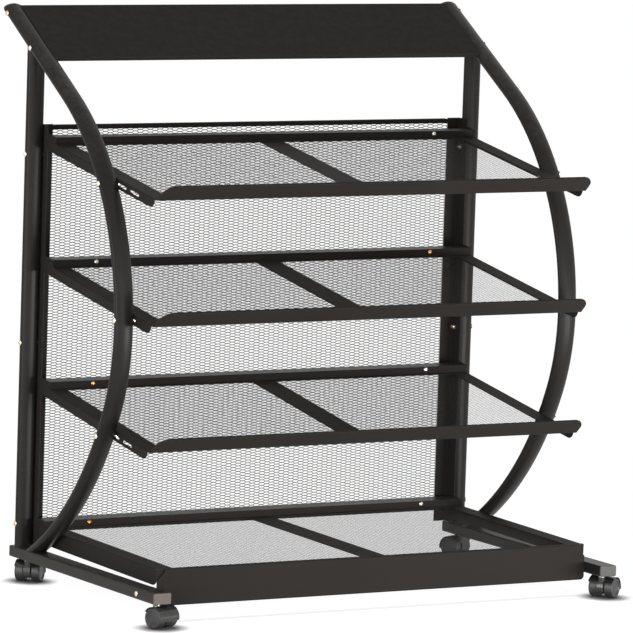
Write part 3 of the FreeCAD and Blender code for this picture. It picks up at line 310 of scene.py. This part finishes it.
def make_materials():
    """Every finish of the rack, by the name that kind_of gives."""
    SKIN["powder"] = powder_group()
    SKIN["edges"] = edge_group()
    SKIN["plate"] = plated_group()
    SKIN["plastic"] = moulded_group()
    rubbed = {"width": 1.2 * MM, "share": 0.55, "colour": srgb(98, 92, 86)}
    # pale edges on the caster hoods and wheels: a painted highlight of rims catching light
    painted_rim_highlight = {"width": 1.0 * MM, "share": 0.7, "colour": srgb(150, 155, 145)}
    peel = {"strength": 0.25, "depth": 0.08 * MM}
    marks = {"strength": 0.1, "depth": 0.03 * MM}
    grain = {"strength": 0.3, "depth": 0.06 * MM}
    return {
        # the tubes take a darker copy of the sheet's coat: painted shade, as one powder covers the
        # whole frame
        "tube": finish_material(
            "satin black powder on tube", SKIN["powder"],
            {"Coat": srgb(36, 34, 32), "Thin Coat": srgb(56, 52, 49), "Gloss": 0.36},
            peel, edge=rubbed, shine=0.13),
        "sheet": finish_material(
            "satin black powder on sheet", SKIN["powder"],
            {"Coat": srgb(42, 39, 37), "Thin Coat": srgb(58, 54, 51),
             "Gloss": 0.62, "Dust": 0.05},
            peel, edge=rubbed, shine=0.06),
        "mesh": finish_material(
            "black powder on expanded mesh", SKIN["powder"],
            {"Coat": srgb(38, 36, 35), "Thin Coat": srgb(70, 66, 62),
             "Gloss": 0.5, "Dust": 0.3},
            {"strength": 0.15, "depth": 0.05 * MM}, shine=0.15),
        # the darker grey tone put on the plugs on the right side is painted shade; the brown is the
        # plastic's own tone
        "plug": finish_material(
            "moulded end plug", SKIN["plastic"],
            {"Plastic": srgb(88, 77, 70), "Scuff": srgb(106, 96, 88), "Painted Shade Tone": srgb(52, 53, 49),
             "Painted Shade Share": 1.0, "Gloss": 0.5},
            grain),
        "screw": finish_material(
            "zinc plated screw", SKIN["plate"], {}, marks, metallic=1.0),
        "steel": finish_material(
            "bright plated steel", SKIN["plate"],
            {"Plate": srgb(240, 239, 235), "Bloom": srgb(222, 219, 212),
             "Passivated": srgb(226, 222, 212)},
            marks, metallic=1.0),
        # hood and wheel take the pale edge colour as a painted rim highlight
        "hood": finish_material(
            "moulded caster hood", SKIN["plastic"],
            {"Plastic": srgb(30, 30, 28), "Scuff": srgb(70, 70, 66), "Gloss": 0.22},
            {"strength": 0.2, "depth": 0.05 * MM}, edge=painted_rim_highlight),
        "tread": finish_material(
            "moulded caster wheel", SKIN["plastic"],
            {"Plastic": srgb(36, 36, 38), "Scuff": srgb(88, 86, 82),
             "Gloss": 0.38, "Scuffs": 0.5},
            grain, edge=painted_rim_highlight),
    }


def kind_of(node):
    """Which finish a rack piece takes, from its name."""
    if node.endswith("plugs"):
        return "plug"
    if node.endswith("screws"):
        return "screw"
    if node.endswith(("_stem", "_axle", "nuts")):
        return "steel"
    if node.endswith("_hood"):
        return "hood"
    if "_wheel_" in node:
        return "tread"
    if node.endswith(("_base_rail", "_post", "_bow", "cross_bars")):
        return "tube"
    return "sheet"


def dress_frame(finishes):
    """Puts each rack piece's finish on it."""
    for name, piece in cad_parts.items():
        piece.data.materials.clear()
        piece.data.materials.append(finishes[kind_of(name)])


# ---- expanded mesh ----
def diamond_sheet(name, width, depth, long_way, short_way, bond, strand):
    """Flat expanded sheet about its own middle: staggered six-sided openings between
    strands that meet in bonds."""
    sheet = bmesh.new()
    columns = int(width / long_way) + 2
    rows = int(depth / short_way) + 2
    flat = bond[0] / 2
    high = short_way / 2 - bond[1] / 2
    tip = long_way / 2 - flat - strand
    corners = {
        "right": (tip, 0, 0), "left": (-tip, 0, 0),
        "rear right": (flat, high, LIFT), "rear left": (-flat, high, LIFT),
        "front right": (flat, -high, -LIFT), "front left": (-flat, -high, -LIFT),
    }
    made = {}

    def corner(column, row, which):
        """A corner of an opening; columns and rows count half cells."""
        key = (column, row, which)
        if key not in made:
            x, y, z = corners[which]
            made[key] = sheet.verts.new((column * long_way / 2 + x, row * short_way / 2 + y, z))
        return made[key]

    for row in range(-rows, rows + 1):
        for column in range(-columns, columns + 1):
            if (column + row) % 2:
                continue
            here, over = (column, row), (column, row + 2)
            right, left = (column + 1, row + 1), (column - 1, row + 1)
            sheet.faces.new((corner(*here, "rear right"), corner(*here, "right"),
                             corner(*right, "front left"), corner(*right, "left")))
            sheet.faces.new((corner(*here, "left"), corner(*here, "rear left"),
                             corner(*left, "right"), corner(*left, "front right")))
            sheet.faces.new((corner(*here, "rear left"), corner(*here, "rear right"),
                             corner(*right, "left"), corner(*over, "front right"),
                             corner(*over, "front left"), corner(*left, "right")))
    edges = [((width / 2, 0, 0), (1, 0, 0)), ((-width / 2, 0, 0), (-1, 0, 0)),
             ((0, depth / 2, 0), (0, 1, 0)), ((0, -depth / 2, 0), (0, -1, 0))]
    for spot, outward in edges:
        whole = sheet.verts[:] + sheet.edges[:] + sheet.faces[:]
        bmesh.ops.bisect_plane(sheet, geom=whole, plane_co=spot, plane_no=outward,
                               clear_outer=True)
    bmesh.ops.recalc_face_normals(sheet, faces=sheet.faces)
    data = bpy.data.meshes.new(name)
    sheet.to_mesh(data)
    sheet.free()
    piece = bpy.data.objects.new(name, data)
    bpy.context.scene.collection.objects.link(piece)
    return piece


def thicken(piece, thickness):
    """Gives the strands their thickness, half to each side."""
    wall = piece.modifiers.new("strand thickness", "SOLIDIFY")
    wall.thickness = thickness
    wall.offset = 0.0


def deck_mesh(node, slope, finishes):
    """Expanded sheet under a deck's strips, on the deck's slope."""
    low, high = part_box(node)
    run = SHEET_SPACE * math.sin(slope)
    depth = (high.y - low.y - run) / math.cos(slope)
    piece = diamond_sheet(node + "_strands", high.x - low.x, depth, **DECK_PATTERN)
    thicken(piece, DECK_STRAND_THICKNESS)
    piece.matrix_world = Matrix.Translation((low + high) / 2) @ Matrix.Rotation(slope, 4, "X")
    finish_piece(piece, finishes["mesh"], node)


def back_mesh(finishes):
    """Expanded sheet of the back, upright."""
    low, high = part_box("back_mesh")
    width, height = high.x - low.x, high.z - low.z
    piece = diamond_sheet("back_mesh_strands", width, height, **BACK_PATTERN)
    thicken(piece, BACK_STRAND_THICKNESS)
    piece.matrix_world = Matrix.Translation((low + high) / 2) @ Matrix.Rotation(math.pi / 2, 4, "X")
    finish_piece(piece, finishes["mesh"], "back_mesh")


def finish_piece(piece, material, *nodes, body="rack", slot="black_powder_coat"):
    """Coats a mesh sheet and puts it on its body in place of its plain nodes."""
    piece.data.materials.append(material)
    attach(piece, body)
    if nodes:
        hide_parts(*nodes)


# ---- studio ----
def make_camera():
    """Camera at front left, set out from the middle between the posts' feet."""
    left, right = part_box("left_post"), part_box("right_post")
    middle = (left[0] + left[1] + right[0] + right[1]) / 4
    middle.z = 0.0
    back = Vector((math.sin(CAMERA_AZIMUTH) * math.cos(CAMERA_ELEVATION),
                   -math.cos(CAMERA_AZIMUTH) * math.cos(CAMERA_ELEVATION), math.sin(CAMERA_ELEVATION)))
    level = Vector((math.cos(CAMERA_AZIMUTH), math.sin(CAMERA_AZIMUTH), 0.0))
    upright = back.cross(level)
    right_way = level * math.cos(CAMERA_ROLL) + upright * math.sin(CAMERA_ROLL)
    up_way = upright * math.cos(CAMERA_ROLL) - level * math.sin(CAMERA_ROLL)
    lens = bpy.data.cameras.new("studio camera")
    lens.sensor_width = SENSOR
    lens.lens = FOCAL
    lens.clip_start = CLIP_START
    lens.clip_end = CLIP_END
    camera = bpy.data.objects.new("studio camera", lens)
    turn = Matrix((right_way, up_way, back)).transposed()
    camera.matrix_world = Matrix.Translation(middle + CAMERA_FROM_POSTS) @ turn.to_4x4()
    bpy.context.scene.collection.objects.link(camera)
    bpy.context.scene.camera = camera


def shown_ray(nodes, links):
    """1 for the rays that show the background: camera, glossy and transmission."""
    path = nodes.new("ShaderNodeLightPath")
    shown = path.outputs["Is Camera Ray"]
    for ray in ("Is Glossy Ray", "Is Transmission Ray"):
        either = nodes.new("ShaderNodeMath")
        either.operation = "MAXIMUM"
        links.new(shown, either.inputs[0])
        links.new(path.outputs[ray], either.inputs[1])
        shown = either.outputs[0]
    return shown


def make_world():
    """Plain white world that shows as white and gives matt surfaces a weaker fill."""
    world = bpy.data.worlds.new("studio")
    bpy.context.scene.world = world
    world.use_nodes = True
    nodes, links = world.node_tree.nodes, world.node_tree.links
    nodes.clear()
    out = nodes.new("ShaderNodeOutputWorld")
    fill = nodes.new("ShaderNodeBackground")
    fill.inputs["Color"].default_value = (1, 1, 1, 1)
    fill.inputs["Strength"].default_value = WORLD_FILL
    seen = nodes.new("ShaderNodeBackground")
    seen.inputs["Color"].default_value = (1, 1, 1, 1)
    seen.inputs["Strength"].default_value = BACKGROUND
    blend = nodes.new("ShaderNodeMixShader")
    links.new(shown_ray(nodes, links), blend.inputs[0])
    links.new(fill.outputs[0], blend.inputs[1])
    links.new(seen.outputs[0], blend.inputs[2])
    links.new(blend.outputs[0], out.inputs["Surface"])


def make_floor():
    """White floor that keeps the rack's shadow, darkest where a wheel stands on it."""
    material = bpy.data.materials.new("white studio floor")
    material.use_nodes = True
    nodes, links = material.node_tree.nodes, material.node_tree.links
    shader = nodes["Principled BSDF"]
    shader.inputs["Base Color"].default_value = (FLOOR_WHITE, FLOOR_WHITE, FLOOR_WHITE, 1)
    shader.inputs["Roughness"].default_value = FLOOR_ROUGHNESS
    shader.inputs["Specular IOR Level"].default_value = FLOOR_SHINE
    seen = nodes.new("ShaderNodeBsdfDiffuse")
    seen.inputs["Color"].default_value = (FLOOR_SEEN, FLOOR_SEEN, FLOOR_SEEN, 1)
    near = nodes.new("ShaderNodeAmbientOcclusion")
    near.samples = CONTACT_SAMPLES
    near.inputs["Distance"].default_value = CONTACT_REACH
    deep = nodes.new("ShaderNodeMath")
    deep.operation = "POWER"
    deep.inputs[1].default_value = CONTACT_DEPTH
    held = nodes.new("ShaderNodeMath")
    held.operation = "MULTIPLY"
    held.inputs[1].default_value = FLOOR_LIFT
    lift = nodes.new("ShaderNodeEmission")
    links.new(near.outputs["AO"], deep.inputs[0])
    links.new(deep.outputs[0], held.inputs[0])
    links.new(held.outputs[0], lift.inputs["Strength"])
    add = nodes.new("ShaderNodeAddShader")
    blend = nodes.new("ShaderNodeMixShader")
    links.new(seen.outputs[0], add.inputs[0])
    links.new(lift.outputs[0], add.inputs[1])
    links.new(shown_ray(nodes, links), blend.inputs[0])
    links.new(shader.outputs[0], blend.inputs[1])
    links.new(add.outputs[0], blend.inputs[2])
    links.new(blend.outputs[0], nodes["Material Output"].inputs["Surface"])
    floor = bpy.data.meshes.new("studio floor")
    reach = FLOOR_REACH
    corners = [(-reach, -reach, 0), (reach, -reach, 0), (reach, reach, 0), (-reach, reach, 0)]
    floor.from_pydata(corners, [], [(0, 1, 2, 3)])
    piece = bpy.data.objects.new("studio_floor", floor)
    piece.location.z = -FLOOR_BELOW
    floor.materials.append(material)
    bpy.context.scene.collection.objects.link(piece)


def soft_box(name, place, aim, size, power):
    """Rectangular lamp of a power in watts, not seen itself."""
    lamp = bpy.data.lights.new(name, "AREA")
    lamp.shape = "RECTANGLE"
    lamp.size, lamp.size_y = size
    lamp.energy = power
    box = bpy.data.objects.new(name, lamp)
    box.location = place
    box.visible_camera = False
    box.rotation_mode = "QUATERNION"
    box.rotation_quaternion = (Vector(aim) - Vector(place)).to_track_quat("-Z", "Y")
    bpy.context.scene.collection.objects.link(box)


def light_studio():
    """Two large boxes model the tubes; two low ones light the feet and front plates."""
    soft_box("key softbox", place=(-4.3, -0.9, 1.25), aim=(0, 0, 0.5), size=(0.7, 2.6), power=62)
    soft_box("front softbox", place=(-0.6, -4.4, 0.6), aim=(0, 0, 0.4), size=(2.6, 2.0), power=54)
    soft_box("low softbox", place=(1.0, -1.9, 0.12), aim=(0.2, -0.3, 0.25), size=(1.6, 0.3), power=36)
    soft_box("foot softbox", place=(-2.6, -1.9, 0.25), aim=(-0.4, -0.1, 0.2), size=(1.3, 0.6), power=24)


FINISHES = make_materials()
dress_frame(FINISHES)
for shelf in ("lower", "middle", "top"):
    deck_mesh(shelf + "_shelf_mesh", SHELF_SLOPE, FINISHES)
deck_mesh("tray_mesh", TRAY_SLOPE, FINISHES)
back_mesh(FINISHES)

make_world()
make_floor()
make_camera()
light_studio()
bpy.context.scene.view_settings.view_transform = "Standard"
